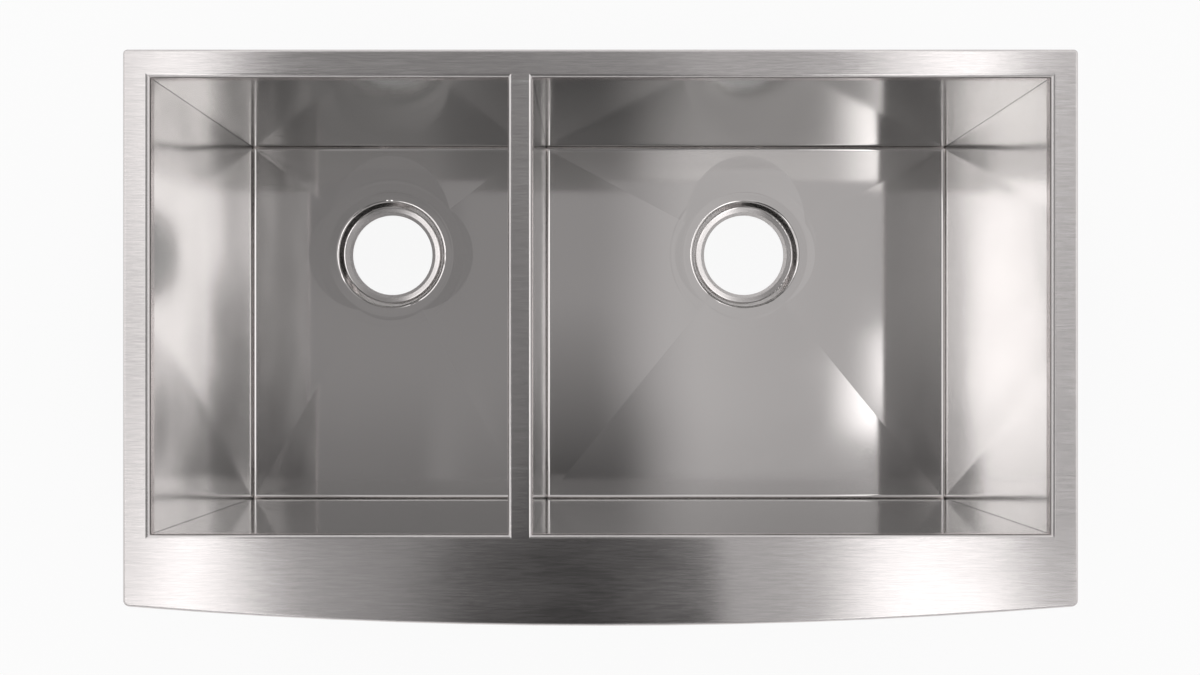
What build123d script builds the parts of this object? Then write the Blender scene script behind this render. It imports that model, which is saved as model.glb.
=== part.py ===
"""Farmhouse apron front kitchen sink: two welded bowls, a rolled deck and a bowed apron.

Millimetres. The origin is at the centre of the footprint, on the surface the sink
stands on. +X is to the right, +Y to the back, +Z up, and the apron faces -Y.
"""

from build123d import *
import os

# Overall size
width = 838.2  # 33 in, side to side
depth = 506.0  # back edge to the crown of the bowed apron
height = 254.0  # 10 in apron; also the height of the deck
bow = 17.2  # how far the apron's crown stands ahead of its corners
sheet = 1.5  # 16 gauge stainless sheet

# Deck and its two mouths
side_ledge = 24.2
back_ledge = 25.0
divider_width = 21.8
left_bowl_width = 313.5
bowl_depth = 400.5  # front to back
deck_lip = 12.0  # turned-down outer edge
collar_depth = 9.0  # turned-down edge of each mouth
edge_roll = 3.0
mouth_roll = 3.5
back_corner = 4.0
front_corner = 6.0
strip_front = 58.2  # weld seams of the divider strip, measured from the front
strip_back = 3.4  # and from the back of the mouths

# Bowl floors: four facets that fall to the drain, inside turned-up edges
fold_height = 12.0  # top of the floor where it meets the walls
fold_radius = 4.0
floor_fall = 3.5
drain_setback = 121.5  # drain centre to the back wall

# Drain recess, as radius and height on its upper surface
drain_hole = 46.0
drain_lip = 49.5  # flat ring around the hole
seat_radius, seat_height = 55.5, 2.8
land_radius, land_height = 61.0, 9.2
land_edge = 71.7  # where the flat land starts to climb to the facets
land_slope = 0.065
land_roll = 4.0
seat_roll = 2.5
recess_reach = 114.0  # beyond this radius the floor is all facets
recess_trim = 7.5  # the recess's underside ends this far inside that radius

# Apron, its fixings and the damping pads
apron_return = 71.3  # how far the apron wraps back along each side
fold_out = 3.0  # outer radius of that fold
flange_base = 20.0
rail_width = 22.5
rail_upstand = 15.0
rail_reach = 390.0  # half the length of the bottom rail
strap_sheet = 2.0  # brackets are 14 gauge
strap_width = 40.0
strap_base, strap_leg = 40.0, 38.0
strap_spread = 220.0  # between the two brackets of the large bowl
pad_thickness = 4.0
pad_corner = 12.0
pad_low, pad_high = 85.0, 190.0
apron_pad_length = 230.0
pad_share = 0.55  # of the wall's length
floor_pad_margin = 30.0
floor_pad_corner = 8.0
drain_clearance = 108.0  # from the drain's centre to the floor pads
weld_radius = 2.4

# Hold-down brackets under the deck
tab_pitch = 250.0
tab_width = 40.0
tab_reach = 20.0
tab_drop = 32.0
tab_top = 232.0
tab_bend = 4.0
tab_hole = 3.25
tab_hole_inset = 12.0

# Spacers between the bowls
spacer_pitch = 280.0
spacer_length = 50.0
spacer_top = 85.0
spacer_drop = 22.0

# Places worked out from the sizes above
half_width = width / 2
back_y = depth / 2
crown_y = -depth / 2
corner_y = crown_y + bow
mouth_back = back_y - back_ledge
mouth_front = mouth_back - bowl_depth
mouth_middle = (mouth_back + mouth_front) / 2
left_bowl = (side_ledge - half_width, side_ledge - half_width + left_bowl_width)
right_bowl = (left_bowl[1] + divider_width, half_width - side_ledge)
drain_y = mouth_back - drain_setback
wall_base = fold_height + fold_radius + sheet
wall_top = height - collar_depth
divider_middle = (left_bowl[1] + right_bowl[0]) / 2
end_face = half_width - side_ledge + sheet  # outer face of each end wall
apron_back_y = corner_y + apron_return
underside = height - sheet  # of the deck plate
beyond = 1000.0  # longer than the sink, for shapes that only cut
close = 0.01  # edges and corners this near a place are taken to be there

os.makedirs("parts", exist_ok=True)


def keep(part, label):
    """Name a finished piece and write it out."""
    part.label = label
    export_step(part, f"parts/{label}.step")


def edges_at(part, z):
    """The edges of a part that lie at one height."""
    return part.edges().filter_by(lambda edge: abs(edge.center().Z - z) < close)


def outline(inset):
    """The sink's plan: straight back and sides, and a bowed front."""
    with BuildSketch() as plan:
        with BuildLine():
            back = Line((-half_width, back_y), (half_width, back_y))
            side = Line(back @ 1, (half_width, corner_y))
            front = ThreePointArc(side @ 1, (0, crown_y), (-half_width, corner_y))
            Line(front @ 1, back @ 0)
        make_face()
        fillet(plan.vertices().group_by(Axis.Y)[-1], back_corner)
        fillet(plan.vertices().group_by(Axis.Y)[0], front_corner)
        if inset:
            offset(amount=-inset, mode=Mode.REPLACE)
    return plan.sketch


def mouths(grow=0.0):
    """Both bowl mouths in plan, each side moved out by grow."""
    with BuildSketch() as plan:
        for low, high in (left_bowl, right_bowl):
            with Locations(((low + high) / 2, mouth_middle)):
                Rectangle(high - low + 2 * grow, bowl_depth + 2 * grow)
    return plan.sketch


# Deck blank: a plate with its outer edge turned down and a rolled collar in each mouth
with BuildPart() as deck:
    with BuildSketch(Plane.XY.offset(height - deck_lip)):
        add(outline(0))
    extrude(amount=deck_lip)
    fillet(deck.faces().sort_by(Axis.Z)[-1].edges(), edge_roll)
    with BuildSketch(Plane.XY.offset(height - deck_lip)):
        add(outline(sheet))
        add(mouths(sheet), mode=Mode.SUBTRACT)
    extrude(amount=deck_lip - sheet, mode=Mode.SUBTRACT)
    fillet(edges_at(deck, underside), edge_roll - sheet)
    with BuildSketch(Plane.XY.offset(height - deck_lip)):
        add(mouths())
    extrude(amount=deck_lip, mode=Mode.SUBTRACT)
    top = deck.faces().filter_by(Plane.XY).sort_by(Axis.Z)[-1]
    fillet([edge for wire in top.inner_wires() for edge in wire.edges()], mouth_roll)
    with BuildSketch(Plane.XY.offset(height - deck_lip)):
        add(mouths(2 * sheet))
    extrude(amount=deck_lip - collar_depth, mode=Mode.SUBTRACT)

strip_length = bowl_depth - strip_front - strip_back
strip_middle = (mouth_front + strip_front + mouth_back - strip_back) / 2

with BuildPart() as deck_frame:
    add(deck.part)
    with Locations((divider_middle, strip_middle, height)):
        Box(divider_width, strip_length, beyond, mode=Mode.SUBTRACT)
keep(deck_frame.part, "deck_frame")

with BuildPart() as divider_strip:
    add(deck.part)
    with Locations((divider_middle, strip_middle, height)):
        Box(divider_width, strip_length, beyond, mode=Mode.INTERSECT)
keep(divider_strip.part, "divider_strip")


# Apron: a bowed sheet that wraps both front corners and folds in to meet the end walls
with BuildPart() as apron_panel:
    with BuildSketch() as section:
        add(outline(0))
        add(outline(sheet), mode=Mode.SUBTRACT)
        with Locations((0, apron_back_y)):
            Rectangle(
                beyond, beyond, align=(Align.CENTER, Align.MIN), mode=Mode.SUBTRACT
            )
        for side in (-1, 1):
            with Locations((side * (end_face + half_width) / 2, apron_back_y)):
                Rectangle(half_width - end_face, sheet, align=(Align.CENTER, Align.MAX))
        for inset, radius in ((0, fold_out), (sheet, fold_out - sheet)):
            fillet(
                section.vertices().filter_by(
                    lambda v: abs(abs(v.X) + inset - half_width) < close
                    and abs(v.Y + inset - apron_back_y) < close
                ),
                radius,
            )
    extrude(amount=height - deck_lip)
    for side in (-1, 1):
        with Locations((side * end_face, apron_back_y, 0)):
            Box(
                2 * (half_width - end_face - fold_out),
                2 * fold_out,
                2 * flange_base,
                mode=Mode.SUBTRACT,
            )
keep(apron_panel.part, "apron_panel")

# Bottom rail: an angle that follows the bow and stiffens the apron's lower edge
with BuildPart() as apron_bottom_rail:
    with BuildSketch():
        add(outline(sheet))
        add(outline(sheet + rail_width), mode=Mode.SUBTRACT)
        with Locations((0, crown_y)):
            Rectangle(2 * rail_reach, 2 * (bow + rail_width), mode=Mode.INTERSECT)
    extrude(amount=sheet)
    with BuildSketch():
        add(outline(sheet))
        add(outline(2 * sheet), mode=Mode.SUBTRACT)
        with Locations((0, crown_y)):
            Rectangle(2 * rail_reach, 2 * (bow + rail_width), mode=Mode.INTERSECT)
    extrude(amount=rail_upstand)
keep(apron_bottom_rail.part, "apron_bottom_rail")

# Brackets: folded straps that tie the bowls' front walls to the back of the apron
bowl_middles = [sum(bowl) / 2 for bowl in (left_bowl, right_bowl)]
strap_places = [
    (bowl_middles[0], crown_y),
    (bowl_middles[1] - strap_spread / 2, crown_y),
    (bowl_middles[1] + strap_spread / 2, crown_y),
]
front_face_y = mouth_front - sheet
strap_top = strap_base + strap_leg
with BuildPart() as apron_brackets:
    for x, y in strap_places:
        with BuildSketch(Plane.YZ.offset(x - strap_width / 2)):
            with BuildLine():
                Polyline(
                    (front_face_y, strap_base),
                    (front_face_y, strap_top),
                    (crown_y, strap_top),
                    (crown_y, strap_top - strap_sheet),
                    (front_face_y - strap_sheet, strap_top - strap_sheet),
                    (front_face_y - strap_sheet, strap_base),
                    close=True,
                )
            make_face()
        extrude(amount=strap_width)
    with BuildSketch(Plane.XY.offset(strap_base)):
        add(outline(sheet))
    extrude(amount=strap_leg, mode=Mode.INTERSECT)
    with BuildSketch(Plane.XY.offset(strap_base)):
        add(outline(sheet))
        add(outline(sheet + strap_sheet), mode=Mode.SUBTRACT)
        with Locations(*strap_places):
            Rectangle(strap_width, 2 * (bow + rail_width), mode=Mode.INTERSECT)
    extrude(amount=strap_leg)
keep(apron_brackets.part, "apron_brackets")

# Damping pads stuck to the back of the apron, one in front of each bowl
with BuildPart() as apron_damping_pads:
    with BuildSketch(Plane.XY.offset(pad_low)):
        add(outline(sheet))
        add(outline(sheet + pad_thickness), mode=Mode.SUBTRACT)
        with Locations(*[(x, crown_y) for x in bowl_middles]):
            Rectangle(apron_pad_length, 2 * (bow + rail_width), mode=Mode.INTERSECT)
    extrude(amount=pad_high - pad_low)
keep(apron_damping_pads.part, "apron_damping_pads")

# Spacers: inverted channels welded between the two divider walls
with BuildPart() as divider_spacers:
    for y in (mouth_middle - spacer_pitch / 2, mouth_middle + spacer_pitch / 2):
        with BuildSketch(Plane.XZ.offset(-y)):
            with Locations((divider_middle, spacer_top)):
                Rectangle(
                    divider_width - 2 * sheet, spacer_drop, align=(Align.CENTER, Align.MAX)
                )
            with Locations((divider_middle, spacer_top - sheet)):
                Rectangle(
                    divider_width - 4 * sheet,
                    spacer_drop,
                    align=(Align.CENTER, Align.MAX),
                    mode=Mode.SUBTRACT,
                )
        extrude(amount=spacer_length / 2, both=True)
keep(divider_spacers.part, "divider_spacers")


def tray_space(bowl, grow, drop):
    """The space in a bowl's floor tray: folded edges, and four facets that fall to the drain.

    Each side is moved out by grow and the floor lowered by drop.
    """
    rim = fold_height - drop
    middle = sum(bowl) / 2
    bowl_width = bowl[1] - bowl[0]
    with BuildPart() as space:
        with BuildSketch(Plane.XY.offset(rim)):
            with Locations((middle, mouth_middle)):
                Rectangle(bowl_width + 2 * grow, bowl_depth + 2 * grow)
        extrude(amount=wall_base - rim)
        fillet(edges_at(space, rim), fold_radius + grow)
        with BuildSketch(Plane.XY.offset(rim), mode=Mode.PRIVATE) as plan:
            with Locations((middle, mouth_middle)):
                Rectangle(bowl_width - 2 * fold_radius, bowl_depth - 2 * fold_radius)
        loft(sections=[Vertex(middle, drain_y, rim - floor_fall), plan.sketch.face()])
    return space.part


def recess_section(grow):
    """Half section of the space above the drain recess: x is the radius, y the height."""
    climb = land_slope * (recess_reach - land_edge)
    with BuildSketch() as section:
        with BuildLine():
            Polyline(
                (0, wall_base),
                (0, sheet),
                (drain_lip, sheet),
                (seat_radius, seat_height),
                (land_radius, land_height),
                (land_edge, land_height),
                (recess_reach, land_height + climb),
                (recess_reach, wall_base),
                close=True,
            )
        make_face()
        fillet(section.vertices().sort_by_distance((seat_radius, seat_height))[0], seat_roll)
        fillet(section.vertices().sort_by_distance((land_radius, land_height))[0], land_roll)
        if grow:
            offset(amount=grow, mode=Mode.REPLACE)
            with Locations((0, 0)):
                Rectangle(
                    recess_reach - recess_trim,
                    fold_height,
                    align=(Align.MIN, Align.MIN),
                    mode=Mode.INTERSECT,
                )
    return section.sketch


def wall(name, x_span, y_span):
    """A flat sheet of a bowl, from the floor's turned-up edge to the deck's collar."""
    with BuildPart() as panel:
        with Locations((sum(x_span) / 2, sum(y_span) / 2, (wall_base + wall_top) / 2)):
            Box(x_span[1] - x_span[0], y_span[1] - y_span[0], wall_top - wall_base)
    keep(panel.part, name)


def damping_pad(name, face, length):
    """A rubber pad with rounded corners, stuck to the outer face of a wall."""
    with BuildPart() as pad:
        with BuildSketch(face):
            with Locations((0, (pad_low + pad_high) / 2)):
                RectangleRounded(length, pad_high - pad_low, pad_corner)
        extrude(amount=pad_thickness)
    keep(pad.part, name)


for name, bowl, outward in (("left", left_bowl, -1), ("right", right_bowl, 1)):
    x_middle = sum(bowl) / 2
    bowl_width = bowl[1] - bowl[0]
    x_end, x_divider = bowl[::outward][1], bowl[::outward][0]
    drain_section = Plane((x_middle, drain_y, 0), x_dir=(1, 0, 0), z_dir=(0, -1, 0))
    drain_axis = Axis((x_middle, drain_y, 0), (0, 0, 1))

    # Floor: a tray with folded edges, pressed down in facets and round the drain
    with BuildPart() as blank:
        add(tray_space(bowl, sheet, sheet))
        with BuildSketch(drain_section):
            add(recess_section(sheet))
        revolve(axis=drain_axis)
    with BuildPart() as hollow:
        add(tray_space(bowl, 0, 0))
        with BuildSketch(drain_section):
            add(recess_section(0))
        revolve(axis=drain_axis)
        with Locations((x_middle, drain_y)):
            Cylinder(drain_hole, 4 * sheet)
    with BuildPart() as floor:
        add(blank.part)
        add(hollow.part, mode=Mode.SUBTRACT)
    keep(floor.part, f"{name}_floor")

    # Walls, butted at sharp corners
    wall(f"{name}_back_wall", bowl, (mouth_back, mouth_back + sheet))
    wall(f"{name}_front_wall", bowl, (mouth_front - sheet, mouth_front))
    sides = (mouth_front, mouth_back)
    wall(f"{name}_end_wall", sorted((x_end, x_end + outward * sheet)), sides)
    wall(f"{name}_divider_wall", sorted((x_divider, x_divider - outward * sheet)), sides)

    # Weld beads that fill the four outside corners
    with BuildPart() as corner_welds:
        with BuildSketch(Plane.XY.offset(wall_base)):
            with Locations((x_middle, mouth_middle)):
                with GridLocations(bowl_width, bowl_depth, 2, 2):
                    Circle(weld_radius)
                Rectangle(bowl_width, 2 * bowl_depth, mode=Mode.SUBTRACT)
                Rectangle(2 * bowl_width, bowl_depth, mode=Mode.SUBTRACT)
        extrude(amount=wall_top - wall_base)
    keep(corner_welds.part, f"{name}_corner_welds")

    # Pads under the floor: one in front of the drain and one on each side of it
    front_edge = mouth_front + floor_pad_margin
    side_edge = bowl_width / 2 - floor_pad_margin / 2
    with BuildPart() as floor_pads:
        with BuildSketch():
            with Locations((x_middle, front_edge)):
                Rectangle(
                    bowl_width - 2 * floor_pad_margin,
                    drain_y - drain_clearance - front_edge,
                    align=(Align.CENTER, Align.MIN),
                )
            for side in (-1, 1):
                with Locations((x_middle + side * (side_edge + drain_clearance) / 2, drain_y)):
                    Rectangle(side_edge - drain_clearance, drain_clearance)
            fillet(vertices(), floor_pad_corner)
        extrude(amount=wall_base)
        add(tray_space(bowl, 0, sheet + pad_thickness), mode=Mode.INTERSECT)
        add(tray_space(bowl, 0, sheet), mode=Mode.SUBTRACT)
    keep(floor_pads.part, f"{name}_floor_pads")

    # Pads on the outer faces of the walls
    back_face = Plane((x_middle, mouth_back + sheet, 0), x_dir=(-1, 0, 0), z_dir=(0, 1, 0))
    front_face = Plane((x_middle, mouth_front - sheet, 0), x_dir=(1, 0, 0), z_dir=(0, -1, 0))
    end_plane = Plane(
        (x_end + outward * sheet, mouth_middle, 0), x_dir=(0, outward, 0), z_dir=(outward, 0, 0)
    )
    divider_plane = Plane(
        (x_divider - outward * sheet, mouth_middle, 0),
        x_dir=(0, -outward, 0),
        z_dir=(-outward, 0, 0),
    )
    damping_pad(f"{name}_back_pad", back_face, pad_share * bowl_width)
    damping_pad(f"{name}_front_pad", front_face, pad_share * bowl_width)
    damping_pad(f"{name}_end_pad", end_plane, pad_share * bowl_depth)
    damping_pad(f"{name}_divider_pad", divider_plane, pad_share * bowl_depth)

    # Hold-down brackets on the end wall, with a screw hole under the deck's side ledge
    with BuildPart() as brackets:
        for y in (mouth_middle - tab_pitch / 2, mouth_middle + tab_pitch / 2):
            bracket_plane = Plane(
                (outward * end_face, y, tab_top), x_dir=(outward, 0, 0), z_dir=(0, -outward, 0)
            )
            with BuildSketch(bracket_plane):
                with BuildLine():
                    FilletPolyline(
                        (0, -tab_drop),
                        (0, 0),
                        (tab_reach, 0),
                        radius=tab_bend,
                    )
                    offset(amount=strap_sheet, side=Side.RIGHT)
                make_face()
            extrude(amount=tab_width / 2, both=True)
            with Locations((outward * (end_face + tab_hole_inset), y, tab_top)):
                Cylinder(tab_hole, 4 * strap_sheet, mode=Mode.SUBTRACT)
    keep(brackets.part, f"{name}_hold_down_brackets")
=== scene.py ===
"""Finishes, light and camera for the apron front sink.

Metres, in the frame of the model that is loaded: +X right, +Y to the back, +Z up.
The steel sheets keep their shapes and get their finishes here. Ribbed rubber pads take the
place of the plain ones, and small weld beads are added. The light stands for a dim room with
a tall window on either side, as the polished steel mirrors it.
"""

import math

import bpy
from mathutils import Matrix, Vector
from mathutils.bvhtree import BVHTree


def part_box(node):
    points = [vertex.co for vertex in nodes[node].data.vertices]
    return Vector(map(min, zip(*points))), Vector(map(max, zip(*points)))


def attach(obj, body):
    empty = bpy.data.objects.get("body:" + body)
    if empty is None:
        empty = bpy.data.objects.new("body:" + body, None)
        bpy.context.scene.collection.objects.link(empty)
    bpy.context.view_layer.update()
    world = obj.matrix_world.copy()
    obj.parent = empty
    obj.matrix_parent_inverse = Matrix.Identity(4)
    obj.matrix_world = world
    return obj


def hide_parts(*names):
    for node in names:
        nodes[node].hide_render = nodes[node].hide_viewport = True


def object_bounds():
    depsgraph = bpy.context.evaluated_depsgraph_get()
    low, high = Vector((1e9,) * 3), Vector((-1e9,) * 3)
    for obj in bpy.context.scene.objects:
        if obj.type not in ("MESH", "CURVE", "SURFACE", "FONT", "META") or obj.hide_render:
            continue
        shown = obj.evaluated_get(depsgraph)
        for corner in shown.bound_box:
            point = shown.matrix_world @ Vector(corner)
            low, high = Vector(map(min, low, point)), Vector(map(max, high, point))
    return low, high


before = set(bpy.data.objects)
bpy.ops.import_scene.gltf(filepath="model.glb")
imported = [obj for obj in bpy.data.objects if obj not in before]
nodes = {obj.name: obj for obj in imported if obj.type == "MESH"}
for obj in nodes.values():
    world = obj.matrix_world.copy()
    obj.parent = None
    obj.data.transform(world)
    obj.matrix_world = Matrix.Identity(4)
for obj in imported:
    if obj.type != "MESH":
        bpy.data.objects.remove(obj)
cad_low, cad_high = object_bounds()

mm = 0.001
bowls = (("left", -1), ("right", 1))  # each bowl, and which way along X its end wall faces


# ---------------------------------------------------------------- places taken from the frame
deck_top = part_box("deck_frame")[1].z
strip_low, strip_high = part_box("divider_strip")


def mouth_of(side):
    """The lowest and highest corner of the space between a bowl's four walls."""
    back_low, back_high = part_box(f"{side}_back_wall")
    end_low, end_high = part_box(f"{side}_end_wall")
    return Vector((back_low.x, end_low.y, 0)), Vector((back_high.x, end_high.y, deck_top))


def bowl_middle(side):
    """A point well inside a bowl, from which all its sheets face outward."""
    low, high = mouth_of(side)
    return (low + high) / 2


# ---------------------------------------------------------------- shader node helper
usual_noise = (0.3, 0.7)  # most of a noise texture's values lie between these


class Graph:
    """Adds nodes to one shader tree and links them in short calls."""

    def __init__(self, tree):
        self.tree = tree
        tree.nodes.clear()

    def add(self, kind, inputs=None, **settings):
        """A new node. Each input is a socket to link or a plain value."""
        node = self.tree.nodes.new(kind)
        for key, value in settings.items():
            setattr(node, key, value)
        for key, value in (inputs or {}).items():
            self.feed(node.inputs[key], value)
        return node

    def feed(self, socket, value):
        if isinstance(value, bpy.types.NodeSocket):
            self.tree.links.new(value, socket)
        else:
            socket.default_value = value

    def finish(self, shade, output="ShaderNodeOutputMaterial"):
        """Sends a shader's result to the tree's output."""
        self.add(output, {"Surface": shade})

    def math(self, operation, *values):
        return self.add("ShaderNodeMath", dict(enumerate(values)), operation=operation).outputs[0]

    def away(self, value, middle):
        """How far a number is from middle."""
        return self.math("ABSOLUTE", self.math("SUBTRACT", value, middle))

    def vector(self, operation, *values):
        """A vector result, or the number that a dot product or length gives."""
        node = self.add("ShaderNodeVectorMath", dict(enumerate(values)), operation=operation)
        number = operation in ("DOT_PRODUCT", "LENGTH")
        return node.outputs["Value" if number else "Vector"]

    def split(self, vector):
        """The x, y and z of a vector."""
        return self.add("ShaderNodeSeparateXYZ", {0: vector}).outputs[:3]

    def place(self):
        return self.add("ShaderNodeTexCoord").outputs["Object"]

    def normal(self):
        return self.add("ShaderNodeNewGeometry").outputs["Normal"]

    def smooth(self, value, start, end, low=0.0, high=1.0):
        """A smooth step from low to high as value goes from start to end."""
        inputs = {0: value, 1: start, 2: end, 3: low, 4: high}
        return self.add("ShaderNodeMapRange", inputs, interpolation_type="SMOOTHSTEP").outputs[0]

    def linear(self, value, start, end, low, high):
        inputs = {0: value, 1: start, 2: end, 3: low, 4: high}
        return self.add("ShaderNodeMapRange", inputs).outputs[0]

    def spread(self, noise, low, high):
        """Noise stretched so that its usual values go from low to high."""
        return self.linear(noise, *usual_noise, low, high)

    def band(self, value, low, high, soft):
        """1 between low and high, with soft edges."""
        rise = self.smooth(value, low - soft, low + soft)
        return self.math("MULTIPLY", rise, self.smooth(value, high + soft, high - soft))

    def noise(self, place, size, detail=2.0, roughness=0.5):
        """Noise from 0 to 1 whose lumps measure size in metres: one number, or (x, y, z)."""
        lengths = size if isinstance(size, tuple) else (size, size, size)
        scale = tuple(1 / length for length in lengths)
        moved = self.add("ShaderNodeMapping", {"Vector": place, "Scale": scale}).outputs[0]
        inputs = {"Vector": moved, "Scale": 1.0, "Detail": detail, "Roughness": roughness}
        return self.add("ShaderNodeTexNoise", inputs).outputs["Fac"]

    def mix_number(self, share, low, high):
        return self.add("ShaderNodeMix", {0: share, 2: low, 3: high}, data_type="FLOAT").outputs[0]

    def mix_colour(self, share, low, high):
        node = self.add("ShaderNodeMix", {0: share, 6: low, 7: high}, data_type="RGBA")
        return node.outputs[2]

    def mix_shader(self, share, first, second):
        inputs = {0: share, 1: first.outputs[0], 2: second.outputs[0]}
        return self.add("ShaderNodeMixShader", inputs)

    def bump(self, height, distance, normal=None):
        """Bump by height times distance, in metres."""
        inputs = {"Height": height, "Distance": distance, "Strength": 1.0}
        if normal is not None:
            inputs["Normal"] = normal
        return self.add("ShaderNodeBump", inputs).outputs[0]


def empty_material(name):
    material = bpy.data.materials.new(name)
    material.use_nodes = True
    return material, Graph(material.node_tree)


def new_material(name):
    """A material with one surface shader, whose inputs are still to be fed."""
    material, graph = empty_material(name)
    shader = graph.add("ShaderNodeBsdfPrincipled")
    graph.finish(shader.outputs[0])
    return material, graph, shader


# ---------------------------------------------------------------- steel finishes
steel_colour = (0.725, 0.69, 0.685, 1)  # brushed sheet
floor_colour = (0.86, 0.82, 0.81, 1)
# Painted shade: the walls are the same steel as the floor but get darker colours. The front walls
# are darkest, and the left end wall is darker than the right one.
shaded_back_wall_colour = (0.62, 0.62, 0.61, 1)
shaded_front_colours = {"left": (0.40, 0.40, 0.395, 1), "right": (0.38, 0.38, 0.375, 1)}
shaded_end_colours = {"left": (0.64, 0.635, 0.63, 1), "right": (0.72, 0.715, 0.71, 1)}
seam_colour = (0.9, 0.89, 0.88, 1)
coat_dark, coat_pale = (0.15, 0.152, 0.155, 1), (0.24, 0.242, 0.245, 1)
mill_dark, mill_pale = (0.5, 0.49, 0.48, 1), (0.6, 0.59, 0.58, 1)
rubber_dark, rubber_pale = (0.022, 0.022, 0.023, 1), (0.04, 0.04, 0.042, 1)
weld_grey, weld_straw = (0.40, 0.39, 0.38, 1), (0.55, 0.51, 0.45, 1)

seam_half, seam_core = 1.6 * mm, 0.3 * mm  # where it fades out, and where it shows fully
seam_smear = (9 * mm, 2 * mm, 2 * mm)  # size of the patches in which it shows
seam_strength = 0.6
streak_length, streak_width = 20 * mm, 0.8 * mm
streak_height = 0.022 * mm
streak_dark, streak_pale = 0.90, 1.08  # tones of the streaks against the steel's own
hair_share = 0.4  # how much finer scratches add to the streaks
brushed_cloud = (90 * mm, 45 * mm, 45 * mm)

spray_top = deck_top - 24 * mm  # the undercoat stops about here
spray_ragged = 4 * mm  # how far its edge strays up and down, by speckles and by drips alike
outward_enough = 0.25  # cosine from which a face counts as the outside of its sheet
pebble_size, pebble_height = 2.2 * mm, 0.7 * mm
coat_rough = 0.75

ring_radii = (71 * mm, 84 * mm)  # faint rings round each drain
ring_height = 0.04 * mm
turned_radius = 55 * mm  # inside it the drain's lip has a softer, turned finish
turned_rough = 0.26
corner_shade = 0.65  # tone of the lines in a bowl's vertical corners
wave_size = 140 * mm  # buckles in a bowl's sheets
wave_start, wave_full = 20 * mm, 140 * mm  # heights above the base where they begin and are full
ripple_pitch = 1.8 * mm
ripple_height = 0.15 * mm
bare_metal = 0.92  # the rest of the light on the walls is scattered evenly by their fine grinding


def toned(colour, tone):
    """A colour made darker or paler."""
    return tuple(tone * part for part in colour[:3]) + (1,)


def seam_share(graph, place):
    """How far the ground-down weld at either end of the divider strip shows."""
    x, y, _ = graph.split(place)
    middle = (strip_low.x + strip_high.x) / 2
    half = (strip_high.x - strip_low.x) / 2
    across = graph.smooth(graph.away(x, middle), half, half - 4 * mm)
    smear = graph.linear(graph.noise(place, seam_smear), 0.35, 0.65, 0.2, 1.0)
    share = 0.0
    for seam in (strip_low.y, strip_high.y):
        line = graph.smooth(graph.away(y, seam), seam_half, seam_core, 0.0, seam_strength)
        share = graph.math("MAXIMUM", share, line)
    return graph.math("MULTIPLY", share, graph.math("MULTIPLY", across, smear))


def across_grain(graph):
    """The direction across the brushing, which runs along the sink's width where it can."""
    along_width, nudge = (1, 0, 0), (0, 0, 0.05)  # the nudge serves faces that look along X
    across = graph.vector("CROSS_PRODUCT", graph.normal(), along_width)
    return graph.vector("ADD", across, nudge)


def brushed_steel(name):
    """Sheet brushed along the sink's width: streaks along X and light drawn out across them."""
    material, graph, shader = new_material(name)
    place = graph.place()
    streaks = graph.noise(place, (streak_length, streak_width, streak_width), 3.0, 0.6)
    hairs = graph.noise(place, (streak_length / 3, streak_width / 3, streak_width / 3), 2.0)
    clouds = graph.noise(place, brushed_cloud, 2.0)
    grain = graph.mix_number(hair_share, streaks, hairs)

    dark, pale = toned(steel_colour, streak_dark), toned(steel_colour, streak_pale)
    colour = graph.mix_colour(graph.smooth(grain, *usual_noise), dark, pale)
    colour = graph.mix_colour(seam_share(graph, place), colour, seam_colour)
    graph.feed(shader.inputs["Base Color"], colour)
    rough = graph.math("ADD", graph.spread(grain, 0.18, 0.23), graph.spread(clouds, -0.02, 0.02))
    graph.feed(shader.inputs["Roughness"], rough)
    shader.inputs["Metallic"].default_value = 1.0
    shader.inputs["Anisotropic"].default_value = 0.95
    graph.feed(shader.inputs["Tangent"], across_grain(graph))
    graph.feed(shader.inputs["Normal"], graph.bump(grain, streak_height))
    return material


def undercoat_share(graph, place, middle):
    """1 on the outward faces of a bowl's sheets, where the sprayed undercoat lies, 0 inside."""
    outward = graph.vector("NORMALIZE", graph.vector("SUBTRACT", place, middle))
    facing = graph.vector("DOT_PRODUCT", graph.normal(), outward)
    outside = graph.math("GREATER_THAN", facing, outward_enough)
    speckle = graph.noise(place, 2.5 * mm, 2.0)
    drips = graph.noise(place, 60 * mm, 1.0)
    ragged = graph.math("ADD", graph.spread(speckle, -spray_ragged, spray_ragged),
                        graph.spread(drips, -spray_ragged, spray_ragged))
    height = graph.math("ADD", graph.split(place)[2], ragged)
    sprayed = graph.smooth(height, spray_top, spray_top - 1.5 * mm)
    return graph.math("MULTIPLY", outside, sprayed)


def corner_share(graph, place, side):
    """1 along the weld lines in a bowl's four vertical corners."""
    x, y, _ = graph.split(place)
    low, high = mouth_of(side)
    to_x = graph.math("MINIMUM", graph.away(x, low.x), graph.away(x, high.x))
    to_y = graph.math("MINIMUM", graph.away(y, low.y), graph.away(y, high.y))
    return graph.smooth(graph.math("MAXIMUM", to_x, to_y), 0.9 * mm, 0.4 * mm)


def drain_of(side):
    """The middle of a bowl's drain hole, from the lowest ring of its floor."""
    corners = [vertex.co for vertex in nodes[f"{side}_floor"].data.vertices]
    bottom = min(corner.z for corner in corners)
    ring = [corner for corner in corners if corner.z < bottom + mm]
    columns = [corner.x for corner in ring]
    rows = [corner.y for corner in ring]
    return (min(columns) + max(columns)) / 2, (min(rows) + max(rows)) / 2


def from_drain(graph, place, side):
    """Distance from the axis of a bowl's drain."""
    x, y = drain_of(side)
    level = graph.vector("MULTIPLY", graph.vector("SUBTRACT", place, (x, y, 0)), (1, 1, 0))
    return graph.vector("LENGTH", level)


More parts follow.
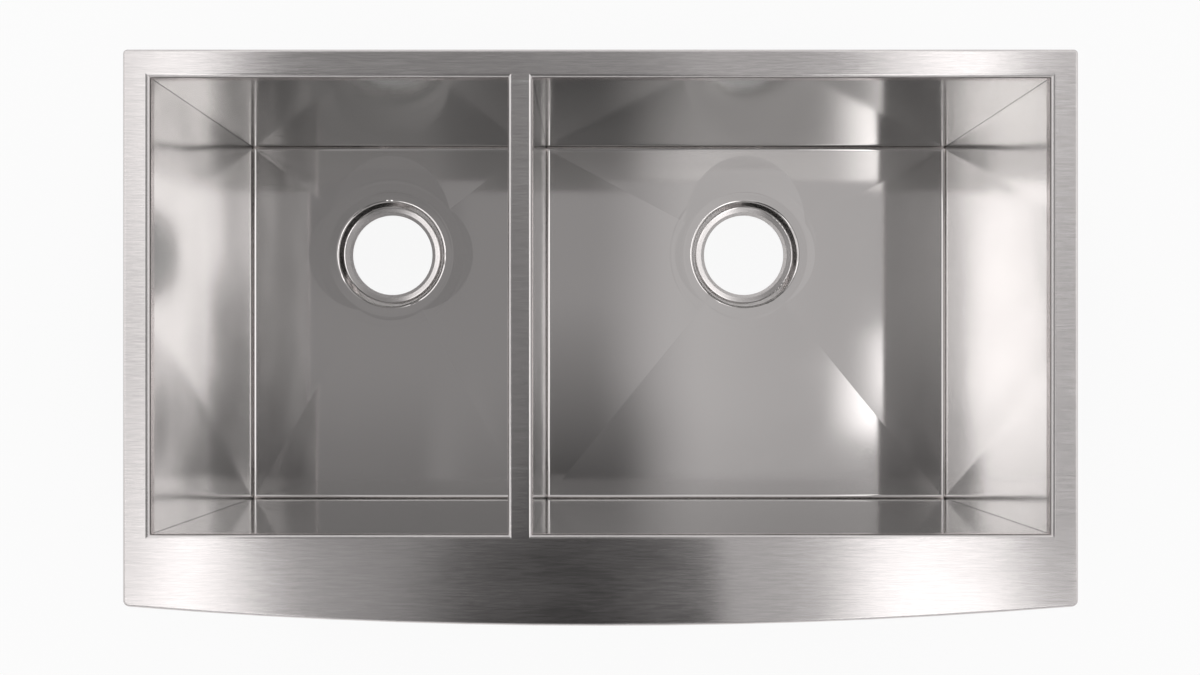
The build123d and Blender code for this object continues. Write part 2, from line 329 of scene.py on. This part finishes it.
def pressing_rings(graph, place, reach):
    """Faint rings that the drain's press tool left in the floor, stronger in some places."""
    rings = 0.0
    for radius in ring_radii:
        rings = graph.math("ADD", rings, graph.smooth(graph.away(reach, radius), 3 * mm, 0.0))
    patches = graph.smooth(graph.noise(place, 50 * mm, 1.0), 0.35, 0.6, 0.2, 1.0)
    return graph.math("MULTIPLY", rings, patches)


def bowl_steel(
    name, side, colour=floor_colour, gloss=0.085, wave=0.3 * mm, grain=0.5, metal=bare_metal,
    ripples=False,
):
    """Fine satin steel, nearly a mirror inside the bowl, with a sprayed undercoat outside.

    gloss is its roughness, wave the height of its buckles, grain how far light is drawn out
    across the brushing. Ripples along Z are for the weld beads of the bowl's corners.
    """
    material, graph, shader = new_material(name)
    place = graph.place()
    satin = graph.noise(place, 1.2 * mm, 2.0)
    clouds = graph.noise(place, 70 * mm, 2.0)
    waves = graph.noise(place, wave_size, 1.0)
    rough = graph.math("ADD", graph.spread(satin, gloss - 0.02, gloss + 0.02),
                       graph.spread(clouds, -0.015, 0.015))
    reach = from_drain(graph, place, side)
    turned = graph.smooth(reach, turned_radius, turned_radius - 2 * mm)
    rough = graph.mix_number(turned, rough, turned_rough)
    height = graph.split(place)[2]
    waves = graph.math("MULTIPLY", waves, graph.smooth(height, wave_start, wave_full))
    normal = graph.bump(waves, wave)
    normal = graph.bump(pressing_rings(graph, place, reach), ring_height, normal)
    if ripples:
        turns = graph.math("MULTIPLY", height, math.tau / ripple_pitch)
        normal = graph.bump(graph.math("SINE", turns), ripple_height)

    coated = undercoat_share(graph, place, bowl_middle(side))
    corners = corner_share(graph, place, side)
    colour = graph.mix_colour(corners, colour, toned(colour, corner_shade))
    pebbles = graph.noise(place, pebble_size, 3.0, 0.6)
    coat_tone = graph.mix_colour(graph.smooth(pebbles, *usual_noise), coat_dark, coat_pale)
    graph.feed(shader.inputs["Base Color"], graph.mix_colour(coated, colour, coat_tone))
    graph.feed(shader.inputs["Roughness"], graph.mix_number(coated, rough, coat_rough))
    graph.feed(shader.inputs["Metallic"], graph.mix_number(coated, metal, 0.0))
    shader.inputs["Anisotropic"].default_value = grain
    graph.feed(shader.inputs["Tangent"], across_grain(graph))
    sprayed = graph.bump(graph.math("MULTIPLY", pebbles, coated), pebble_height, normal)
    graph.feed(shader.inputs["Normal"], sprayed)
    return material


def plain_steel(name):
    """Mill finish of the folded straps, brackets and rail, cloudy and unpolished."""
    material, graph, shader = new_material(name)
    clouds = graph.noise(graph.place(), 20 * mm, 4.0)
    shader.inputs["Metallic"].default_value = 1.0
    graph.feed(shader.inputs["Base Color"], graph.mix_colour(clouds, mill_dark, mill_pale))
    graph.feed(shader.inputs["Roughness"], graph.spread(clouds, 0.3, 0.45))
    return material


def rubber(name):
    """Matt black rubber with a fine grain."""
    material, graph, shader = new_material(name)
    place = graph.place()
    clouds = graph.noise(place, 8 * mm, 4.0)
    grains = graph.noise(place, 0.8 * mm, 2.0)
    graph.feed(shader.inputs["Base Color"], graph.mix_colour(clouds, rubber_dark, rubber_pale))
    graph.feed(shader.inputs["Roughness"], graph.spread(clouds, 0.55, 0.75))
    graph.feed(shader.inputs["Normal"], graph.bump(grains, 0.08 * mm))
    return material


def weld_metal(name):
    """Bare weld metal, greyer than the sheet and faintly straw-coloured in places."""
    material, graph, shader = new_material(name)
    clouds = graph.noise(graph.place(), 5 * mm, 3.0)
    tone = graph.mix_colour(graph.smooth(clouds, 0.35, 0.65), weld_grey, weld_straw)
    shader.inputs["Metallic"].default_value = 1.0
    graph.feed(shader.inputs["Base Color"], tone)
    graph.feed(shader.inputs["Roughness"], graph.spread(clouds, 0.25, 0.4))
    return material


def dress(names, material):
    """Gives the CAD nodes a material in place of their own."""
    for name in names:
        slots = nodes[name].data.materials
        slots.clear()
        slots.append(material)


end_wave = {"left": 3 * mm, "right": 1.2 * mm}
end_gloss = {"left": 0.16, "right": 0.13}

deck_steel = brushed_steel("deck_steel")
dress(["deck_frame", "divider_strip", "apron_panel"], deck_steel)
mill = plain_steel("mill_steel")
dress(["apron_bottom_rail", "apron_brackets", "divider_spacers"], mill)
black_rubber = rubber("rubber")
weld_steel = weld_metal("weld_metal")
for side, _ in bowls:
    dress([f"{side}_floor"], bowl_steel(f"{side}_floor_steel", side, metal=1.0))
    # Painted shade: each wall gets a darker copy of the floor's steel colour.
    back = bowl_steel(f"{side}_back_steel", side, shaded_back_wall_colour, gloss=0.11, grain=0.3)
    dress([f"{side}_back_wall"], back)
    front = bowl_steel(f"{side}_front_steel", side, shaded_front_colours[side], gloss=0.10, grain=0)
    dress([f"{side}_front_wall"], front)
    end = bowl_steel(
        f"{side}_end_steel", side, shaded_end_colours[side],
        gloss=end_gloss[side], wave=end_wave[side], grain=0,
    )
    dress([f"{side}_end_wall", f"{side}_divider_wall"], end)
    dress([f"{side}_corner_welds"], bowl_steel(f"{side}_bead_steel", side, ripples=True))
    dress([f"{side}_hold_down_brackets"], mill)


# ---------------------------------------------------------------- extra pieces
def new_piece(name, points, faces, material):
    """A smooth-shaded mesh that belongs to the sink."""
    mesh = bpy.data.meshes.new(name)
    mesh.from_pydata([tuple(point) for point in points], [], faces)
    mesh.shade_smooth()
    mesh.materials.append(material)
    piece = bpy.data.objects.new(name, mesh)
    bpy.context.scene.collection.objects.link(piece)
    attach(piece, "root")
    return piece


def surface_of(node):
    """A CAD node's surface, for finding points on it."""
    mesh = nodes[node].data
    corners = [vertex.co for vertex in mesh.vertices]
    return BVHTree.FromPolygons(corners, [list(face.vertices) for face in mesh.polygons])


# ---------------------------------------------------------------- rubber damping pads
rib_pitch, rib_rise = 12 * mm, 0.9 * mm
rib_steps = 6  # lattice lines to one rib
rib_start, rib_fade = 7 * mm, 2 * mm  # from a pad's edge to its ribs' ends, and how these rise
row_step = 12 * mm  # lattice lines along the ribs
rim_roll = 1.2 * mm
rim_shares = (0, 0.1, 0.35, 0.7, 1)  # where lattice lines follow the rolled rim
pad_corner = 12 * mm
inside = 0.25 * mm  # keeps the sampled points off the very edge of the solid


def solids_of(node):
    """The boxes of a node's separate solids: the boxes of its faces, joined where they touch."""
    mesh = nodes[node].data
    boxes = []
    for face in mesh.polygons:
        corners = [mesh.vertices[index].co for index in face.vertices]
        low = Vector([min(corner[i] for corner in corners) for i in range(3)])
        high = Vector([max(corner[i] for corner in corners) for i in range(3)])
        apart = []
        for box in boxes:
            if all(low[i] < box[1][i] + inside and box[0][i] < high[i] + inside for i in range(3)):
                low = Vector(map(min, low, box[0]))
                high = Vector(map(max, high, box[1]))
            else:
                apart.append(box)
        boxes = apart + [(low, high)]
    return boxes


def lines_across(length, step):
    """Distances of lattice lines along one side: close together at the rolled rim, then even."""
    rim = [share * rim_roll for share in rim_shares]
    start = rib_start - rib_fade
    count = max(2, round((length - 2 * start) / step))
    middle = [start + (length - 2 * start) * i / count for i in range(count + 1)]
    return rim + middle + [length - distance for distance in reversed(rim)]


def into_corner(u, v, wide, tall):
    """Moves a point of a rectangle so that the rectangle's corners turn into arcs."""
    to_u, to_v = min(u, wide - u), min(v, tall - v)
    if to_u >= pad_corner or to_v >= pad_corner:
        return u, v
    a, b = pad_corner - to_u, pad_corner - to_v
    reach = max(a, b) / math.hypot(a, b)
    u_near, v_near = pad_corner - a * reach, pad_corner - b * reach
    return (u_near if u < wide / 2 else wide - u_near), (v_near if v < tall / 2 else tall - v_near)


def pad_depth(u, v, wide, tall):
    """How far the outer face lies below the solid's: a rolled rim, and grooves between ribs."""
    edge = min(u, wide - u, v, tall - v)
    rim = rim_roll - math.sqrt(rim_roll**2 - max(0, rim_roll - edge) ** 2)
    crest = max(0, math.cos(math.tau * (u - wide / 2) / rib_pitch)) ** 0.5
    ends = min(1, max(0, (edge - rib_start) / rib_fade))
    return rim + rib_rise * (1 - crest * ends) * min(1, edge / rim_roll)


def lattice_faces(first, columns, rows):
    """Faces of a pad whose points come in pairs, outer and inner, column by column."""
    faces = []
    for i in range(columns - 1):
        for j in range(rows - 1):
            corners = ((i, j), (i + 1, j), (i + 1, j + 1), (i, j + 1))
            ring = [first + 2 * (a * rows + b) for a, b in corners]
            faces.append(ring)
            faces.append([index + 1 for index in reversed(ring)])
    last = columns - 1
    rim = [(i, 0) for i in range(last)] + [(last, j) for j in range(rows - 1)]
    rim += [(i, rows - 1) for i in range(last, 0, -1)] + [(0, j) for j in range(rows - 1, 0, -1)]
    rim = [first + 2 * (i * rows + j) for i, j in rim]
    for start, end in zip(rim, rim[1:] + rim[:1]):
        faces.append([end, start, start + 1, end + 1])
    return faces


def rubber_pads(node, outward):
    """Pads with moulded ribs in place of a node's plain solids, seen from the outward side."""
    outward = Vector(outward)
    solid = surface_of(node)
    axes = [Vector(axis) for axis in ((1, 0, 0), (0, 1, 0), (0, 0, 1))]
    across, along = [axis for axis in axes if abs(axis.dot(outward)) < 0.5]
    turned = across.cross(along).dot(outward) < 0
    points, faces = [], []
    for low, high in solids_of(node):
        wide = (high - low).dot(across) - 2 * inside
        tall = (high - low).dot(along) - 2 * inside
        corner = low + (across + along) * inside
        corner -= outward * corner.dot(outward)
        us, vs = lines_across(wide, rib_pitch / rib_steps), lines_across(tall, row_step)
        first = len(points)
        for u in us:
            for v in vs:
                u_moved, v_moved = into_corner(u, v, wide, tall)
                spot = corner + across * u_moved + along * v_moved
                top = solid.ray_cast(spot + outward, -outward)[0]
                bottom = solid.ray_cast(spot - outward, outward)[0]
                points += [top - outward * pad_depth(u, v, wide, tall), bottom]
        faces += lattice_faces(first, len(us), len(vs))
    if turned:
        faces = [list(reversed(face)) for face in faces]
    piece = new_piece(f"{node}_rubber", points, faces, black_rubber)
    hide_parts(node)


rubber_pads("apron_damping_pads", (0, 1, 0))
for side, outward in bowls:
    rubber_pads(f"{side}_back_pad", (0, 1, 0))
    rubber_pads(f"{side}_front_pad", (0, -1, 0))
    rubber_pads(f"{side}_end_pad", (outward, 0, 0))
    rubber_pads(f"{side}_divider_pad", (-outward, 0, 0))
    rubber_pads(f"{side}_floor_pads", (0, 0, -1))


# ---------------------------------------------------------------- weld beads
bead_radius = 1.6 * mm
bead_flatness = 0.8  # its crown's height against its radius
bead_swell = 0.12  # share by which its ripples widen it
bead_tip = 0.02  # keeps the rounded ends from shrinking to a point
ring_step = 0.6 * mm
ring_points = 7
leg_margin = 4 * mm  # from the foot of a strap or bracket to its bead
rail_stitches, rail_stitch = 9, 18 * mm
collar_stitch, collar_gap = 22 * mm, 55 * mm


def bead(points, faces, start, end, outward):
    """Adds a half-round weld bead with a rippled crown and rounded ends."""
    outward = Vector(outward).normalized()
    run = end - start
    side = run.cross(outward).normalized()
    rings = round(run.length / ring_step)
    first = len(points)
    for i in range(rings + 1):
        along = run.length * i / rings
        to_end = min(along, run.length - along)
        rounding = max(0, 1 - to_end / (1.5 * bead_radius))
        taper = math.sqrt(max(bead_tip, 1 - rounding**2))
        swell = 1 + bead_swell * math.sin(math.tau * along / ripple_pitch)
        radius = bead_radius * taper * swell
        for j in range(ring_points):
            angle = math.pi * j / (ring_points - 1)
            sideways = side * radius * math.cos(angle)
            raised = outward * bead_flatness * radius * math.sin(angle)
            points.append(start + run * i / rings + (sideways + raised))
    for i in range(rings):
        for j in range(ring_points - 1):
            a = first + i * ring_points + j
            faces.append([a, a + 1, a + ring_points + 1, a + ring_points])
    tip = first + rings * ring_points
    faces.append(list(range(first + ring_points - 1, first - 1, -1)))
    faces.append(list(range(tip, tip + ring_points)))


def weld_piece(name, runs):
    """One piece of several beads, each run given as (start, end, outward direction)."""
    points, faces = [], []
    for start, end, outward in runs:
        bead(points, faces, Vector(start), Vector(end), outward)
    new_piece(name, points, faces, weld_steel)


def bracket_welds():
    """Beads down both edges of each hold-down bracket's leg."""
    runs = []
    for side, outward in bowls:
        for low, high in solids_of(f"{side}_hold_down_brackets"):
            wall = high.x if outward < 0 else low.x
            for edge, facing in ((low.y, -1), (high.y, 1)):
                start, end = (wall, edge, low.z + leg_margin), (wall, edge, high.z - 8 * mm)
                runs.append((start, end, (outward, facing, 0)))
    weld_piece("bracket_welds", runs)


def strap_welds():
    """Beads where the straps' legs meet the bowls and the apron."""
    apron = surface_of("apron_panel")
    forward = Vector((0, -1, 0))
    runs = []
    for low, high in solids_of("apron_brackets"):
        bottom, top = low.z + leg_margin, high.z - 6 * mm
        for edge, facing in ((low.x, -1), (high.x, 1)):
            runs.append(((edge, high.y, bottom), (edge, high.y, top), (facing, -1, 0)))
            hit = apron.ray_cast(Vector((edge + facing * mm, high.y, bottom)), forward)[0]
            runs.append(((edge, hit.y, bottom), (edge, hit.y, top), (facing, 1, 0)))
    weld_piece("strap_welds", runs)


def rail_welds():
    """Short stitches along the top of the rail's upstand."""
    apron = surface_of("apron_panel")
    forward = Vector((0, -1, 0))
    low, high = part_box("apron_bottom_rail")
    runs = []
    for i in range(rail_stitches):
        middle = low.x + (high.x - low.x) * (i + 0.5) / rail_stitches
        ends = []
        for x in (middle - rail_stitch / 2, middle + rail_stitch / 2):
            hit = apron.ray_cast(Vector((x, high.y, high.z + mm)), forward)[0]
            ends.append((x, hit.y, high.z))
        runs.append((ends[0], ends[1], (0, 1, 1)))
    weld_piece("rail_welds", runs)


def collar_welds():
    """Stitches round the outside of both bowls, where the walls meet the deck's collar."""
    runs = []
    for side, outward in bowls:
        walls = {"back_wall": (0, 1, 0), "front_wall": (0, -1, 0), "end_wall": (outward, 0, 0)}
        for wall, facing in walls.items():
            low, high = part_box(f"{side}_{wall}")
            facing = Vector(facing)
            along = Vector((abs(facing.y), abs(facing.x), 0))
            face = high if max(facing) > 0.5 else low
            level = Vector((face.x * abs(facing.x), face.y * abs(facing.y), high.z))
            span = (high - low).dot(along)
            count = round(span / (collar_stitch + collar_gap))
            for i in range(count):
                middle = low.dot(along) + span * (i + 0.5) / count
                start = level + along * (middle - collar_stitch / 2)
                end = level + along * (middle + collar_stitch / 2)
                runs.append((start, end, facing))
    weld_piece("collar_welds", runs)


bracket_welds()
strap_welds()
rail_welds()
collar_welds()


# ---------------------------------------------------------------- studio light: room
# Directions overhead are given as slopes: u = x/z to the right and v = y/z to the back. A fade
# is (slope where it starts, slope where it ends), with the brightness at both where it has one.
# A strip is (from, to, softness of its edges).
dim = 0.25  # brightness of the ceiling over the left bowl
bright = 1.35  # the left window's outer panes
glaring = 1.75  # its middle pane
far_pane = 2.0  # both windows' panes farthest in front
far_fade = (-0.24, -0.28)

sides_fade = (0.0, 0.06)  # between the left and the right part of the ceiling
left_front_fade = (0.02, -0.14)
near_front_light = (-0.12, -0.31, 0.17, 0.56)  # left front part, brighter away from the middle
far_front_light = (-0.12, -0.33, 0.13, 0.32)
near_to_far = (-0.24, -0.30)
right_light = (0.08, 0.24, 0.49, 0.43)
right_front_light = (0.0, -0.08, 1.0, 0.88)  # share of it that is left in front
pale_light = (0.10, 0.20, 0.80, 0.71)
pale_strip = (-0.24, -0.12, 0.02)  # a paler strip that crosses the right part

left_edge_fade = (-0.36, -0.41)
left_rear_fade, left_rear_shift = (0.0, 0.2), 0.013  # the edge lies farther out behind
left_middle_pane = (-0.04, 0.24, 0.04)
left_gaps = ((-0.11, -0.06, 0.03), (0.27, 0.32, 0.03))  # duller strips between the panes
left_gap_tone = 1.3

# the right window: slope where each pane starts, and its brightness
rear_start, middle_start, front_start, behind_start = 0.36, 0.285, 0.292, 0.32
middle_tone, front_tone, behind_tone = 1.75, 1.65, 1.45
rear_light = (0.44, 0.50, 2.0, 1.55)
right_softness = 0.035
right_middle_pane = (-0.05, 0.06, 0.015)
front_fade, behind_fade, rear_fade = (-0.10, -0.14), (0.28, 0.34), (0.06, 0.10)
fin_top = (0.36, 0.43, -0.04, 0.12)  # a dark fin leans across the middle pane's lower corner
fin_slant = (0.45, 0.53, 0.0, 0.24)
fin_front, fin_softness, fin_tone = (-0.13, -0.10), 0.02, 0.2

# heights, as the z of a direction of length 1
lowest_rise = 0.05  # slopes are not taken below this
ceiling_to_walls = (0.80, 0.70)
wall_light = (0.5, 0.0, 0.95, 0.6)
ahead_fade, ahead_rise, ahead_tone = (0.0, -0.5), (0.35, 0.6), 0.2  # dim high up in front


def ceiling_light(graph, u, v):
    """A dim ceiling, darkest in front of the middle, with a paler right side."""
    near_front = graph.smooth(u, *near_front_light)
    far_front = graph.smooth(u, *far_front_light)
    front = graph.mix_number(graph.smooth(v, *near_to_far), near_front, far_front)
    left = graph.mix_number(graph.smooth(v, *left_front_fade), dim, front)
    plain = graph.math("MULTIPLY", graph.smooth(u, *right_light),
                       graph.smooth(v, *right_front_light))
    pale = graph.smooth(u, *pale_light)
    right = graph.mix_number(graph.band(v, *pale_strip), plain, pale)
    return graph.mix_number(graph.smooth(u, *sides_fade), left, right)


def left_window(graph, u, v):
    """How far the left window covers the ceiling, and its brightness."""
    behind = graph.smooth(v, *left_rear_fade)
    shifted = graph.math("ADD", u, graph.math("MULTIPLY", behind, left_rear_shift))
    share = graph.smooth(shifted, *left_edge_fade)
    tone = graph.mix_number(graph.band(v, *left_middle_pane), bright, glaring)
    gaps = graph.math("MAXIMUM", *[graph.band(v, *gap) for gap in left_gaps])
    tone = graph.mix_number(gaps, tone, left_gap_tone)
    return share, graph.mix_number(graph.smooth(v, *far_fade), tone, far_pane)


def right_window(graph, u, v):
    """How far the panes of the right window cover the ceiling, and their brightness."""
    front = graph.smooth(v, *front_fade)
    behind = graph.smooth(v, *behind_fade)
    start = graph.mix_number(graph.band(v, *right_middle_pane), rear_start, middle_start)
    start = graph.mix_number(front, start, front_start)
    start = graph.mix_number(behind, start, behind_start)
    share = graph.smooth(graph.math("SUBTRACT", u, start), -right_softness, right_softness)
    rear_tone = graph.smooth(u, *rear_light)
    tone = graph.mix_number(graph.smooth(v, *rear_fade), middle_tone, rear_tone)
    tone = graph.mix_number(behind, tone, behind_tone)
    tone = graph.mix_number(front, tone, front_tone)
    tone = graph.mix_number(graph.smooth(v, *far_fade), tone, far_pane)
    slant = graph.linear(u, *fin_slant)
    top = graph.math("SUBTRACT", graph.smooth(u, *fin_top), slant)
    under_top = graph.smooth(graph.math("SUBTRACT", v, top), fin_softness, -fin_softness)
    fin = graph.math("MULTIPLY", graph.smooth(v, *fin_front), under_top)
    return share, graph.mix_number(fin, tone, fin_tone)


def studio_world():
    """Soft light from all round: a dim ceiling straight above, between windows on both sides."""
    world = bpy.data.worlds.new("studio")
    bpy.context.scene.world = world
    world.use_nodes = True
    graph = Graph(world.node_tree)
    x, y, z = graph.split(graph.add("ShaderNodeTexCoord").outputs["Generated"])
    up = graph.math("MAXIMUM", z, lowest_rise)
    u = graph.math("DIVIDE", x, up)
    v = graph.math("DIVIDE", y, up)
    sky = ceiling_light(graph, u, v)
    for share, tone in (left_window(graph, u, v), right_window(graph, u, v)):
        sky = graph.mix_number(share, sky, tone)
    around = graph.smooth(z, *ceiling_to_walls)
    walls = graph.smooth(z, *wall_light)
    ahead = graph.math("MULTIPLY", graph.smooth(y, *ahead_fade), graph.smooth(z, *ahead_rise))
    walls = graph.mix_number(ahead, walls, ahead_tone)
    total = graph.mix_number(around, sky, walls)
    seen = graph.add("ShaderNodeLightPath").outputs["Is Camera Ray"]
    total = graph.mix_number(seen, total, 1.0)
    background = graph.add("ShaderNodeBackground", {"Color": (1, 1, 1, 1), "Strength": total})
    graph.finish(background.outputs[0], "ShaderNodeOutputWorld")


# ---------------------------------------------------------------- studio light: cards and flags
# Places on the cards are x to the right and y to the back, in metres, at the cards' height.
card_height = 1.2

boom_front = (-0.30, -0.36)  # the boom is wider from here on, with a sharp right edge
boom_edge, boom_edge_front = (0.02, -0.15, 0.135, 0.16), 0.238
boom_soft, boom_soft_front = 0.13, 0.012
boom_left = (-0.17, -0.10)
boom_left_front = (-0.42, -0.20)
boom_back = (0.9, 0.8)
boom_light = (-0.40, 0.16, 0.01, 0.29)
card_columns, card_rows = (-0.72, -0.40, 0.04), (-0.30, 0.42, 0.04)
card_light = (-0.30, 0.05, 0.18, 0.25)
card_rear_loss = (0.12, 0.35, 0.0, 0.06)

left_flag_middle, left_flag_reach = (-0.15, 0.22, 0.1), 0.03
left_flag_edge = (-0.82, -0.90)
left_flag_tone, left_flag_middle_tone = 1.0, 0.8
right_flag_edge = (0.73, 0.90)
right_flag_light = (-0.2, 0.3, 0.45, 0.55)


def flat_sheet(name, low, high, z):
    """A level rectangle that looks up."""
    mesh = bpy.data.meshes.new(name)
    corners = [(low[0], low[1]), (high[0], low[1]), (high[0], high[1]), (low[0], high[1])]
    mesh.from_pydata([(x, y, z) for x, y in corners], [], [(0, 1, 2, 3)])
    sheet = bpy.data.objects.new(name, mesh)
    bpy.context.scene.collection.objects.link(sheet)
    return sheet


def card_over_sink(name, low, high, paint):
    """A card above the sink that only its reflections see. paint gives cover and brightness."""
    card = flat_sheet(name, low, high, card_height)
    card.visible_camera = False
    card.visible_diffuse = False
    card.visible_shadow = False
    material, graph = empty_material(name)
    card.data.materials.append(material)
    x, y, _ = graph.split(graph.place())
    cover, tone = paint(graph, x, y)
    glow = graph.add("ShaderNodeEmission", {"Strength": tone})
    clear = graph.add("ShaderNodeBsdfTransparent")
    graph.finish(graph.mix_shader(cover, clear, glow).outputs[0])


def boom_paint(graph, x, y):
    """The dark boom that holds the camera, with a paler card on its left."""
    front = graph.smooth(y, *boom_front)
    edge = graph.mix_number(front, graph.smooth(y, *boom_edge), boom_edge_front)
    softness = graph.mix_number(front, boom_soft, boom_soft_front)
    over_edge = graph.math("DIVIDE", graph.math("SUBTRACT", x, edge), softness)
    left_from, left_to = [
        graph.mix_number(front, behind, ahead) for behind, ahead in zip(boom_left, boom_left_front)
    ]
    boom = graph.math("MULTIPLY", graph.smooth(over_edge, 1.0, -1.0),
                      graph.smooth(x, left_from, left_to))
    boom = graph.math("MULTIPLY", boom, graph.smooth(y, *boom_back))
    boom_tone = graph.linear(y, *boom_light)
    card = graph.math("MULTIPLY", graph.band(x, *card_columns), graph.band(y, *card_rows))
    card_tone = graph.math("SUBTRACT", graph.smooth(y, *card_light),
                           graph.smooth(y, *card_rear_loss))
    return graph.math("MAXIMUM", boom, card), graph.mix_number(boom, card_tone, boom_tone)


def left_flag_paint(graph, x, y):
    """Keeps the deck's left end from glaring; its middle is duller and reaches farther in."""
    middle = graph.band(y, *left_flag_middle)
    moved = graph.math("ADD", x, graph.math("MULTIPLY", middle, -left_flag_reach))
    tone = graph.mix_number(middle, left_flag_tone, left_flag_middle_tone)
    return graph.smooth(moved, *left_flag_edge), tone


def right_flag_paint(graph, x, y):
    """Keeps the deck's right end from glaring, more and more towards its outer edge."""
    return graph.smooth(x, *right_flag_edge), graph.smooth(y, *right_flag_light)


studio_world()
card_over_sink("camera_boom", (-0.8, -0.7), (0.3, 0.9), boom_paint)
card_over_sink("left_flag", (-1.0, -0.6), (-0.78, 0.8), left_flag_paint)
card_over_sink("right_flag", (0.72, -0.6), (1.0, 0.8), right_flag_paint)


# ---------------------------------------------------------------- floor
floor_half = 4.0
floor_white = (0.9, 0.9, 0.9, 1)
floor_glow = 0.9  # share of the floor that shows as plain white and takes no shadow
under_glow = 0.5  # light that the floor under the sink sends up to its coated underside
under_fade = 0.05  # how far outside the sink's edge that floor ends


def studio_floor():
    """White floor that keeps the sink's shadow and can't be seen from below."""
    floor = flat_sheet("studio_floor", (-floor_half, -floor_half), (floor_half, floor_half), 0)
    material, graph = empty_material("studio_floor")
    floor.data.materials.append(material)
    rays = graph.add("ShaderNodeLightPath").outputs
    x, y, _ = graph.split(graph.place())
    past_side = graph.smooth(graph.away(x, 0.0), cad_high.x, cad_high.x + under_fade)
    past_back = graph.smooth(graph.away(y, 0.0), cad_high.y, cad_high.y + under_fade)
    clear_of_sink = graph.math("MAXIMUM", past_side, past_back)
    mirrored = graph.math("MAXIMUM", rays["Is Glossy Ray"], rays["Is Transmission Ray"])
    mirrored = graph.math("MULTIPLY", mirrored, clear_of_sink)
    seen = graph.math("MAXIMUM", rays["Is Camera Ray"], mirrored)
    matt = graph.add("ShaderNodeBsdfDiffuse", {"Color": floor_white})
    white = graph.add("ShaderNodeEmission", {"Color": (1, 1, 1, 1), "Strength": 1.0})
    under_sink = graph.math("SUBTRACT", 1.0, clear_of_sink)
    beneath = graph.math("MULTIPLY", under_sink, rays["Is Diffuse Ray"])
    share = graph.math("MAXIMUM", graph.math("MULTIPLY", seen, floor_glow),
                       graph.math("MULTIPLY", beneath, under_glow))
    lit = graph.mix_shader(share, matt, white)
    below = graph.add("ShaderNodeNewGeometry").outputs["Backfacing"]
    clear = graph.add("ShaderNodeBsdfTransparent")
    graph.finish(graph.mix_shader(below, lit, clear).outputs[0])


studio_floor()


# ---------------------------------------------------------------- camera
picture_width, picture_height = 1200, 675
axis_column, axis_row = 593, 378  # the pixel straight below the camera
focal_pixels = 900.3
sensor = 36.0
camera_place = (-6.6 * mm, -35.4 * mm, 1042 * mm)

camera_data = bpy.data.cameras.new("camera")
camera_data.sensor_width = sensor
camera_data.lens = focal_pixels / picture_width * sensor
camera_data.shift_x = (picture_width / 2 - axis_column) / picture_width
camera_data.shift_y = (axis_row - picture_height / 2) / picture_width
camera = bpy.data.objects.new("camera", camera_data)
camera.location = camera_place
bpy.context.scene.collection.objects.link(camera)
bpy.context.scene.camera = camera
bpy.context.scene.view_settings.view_transform = "Standard"
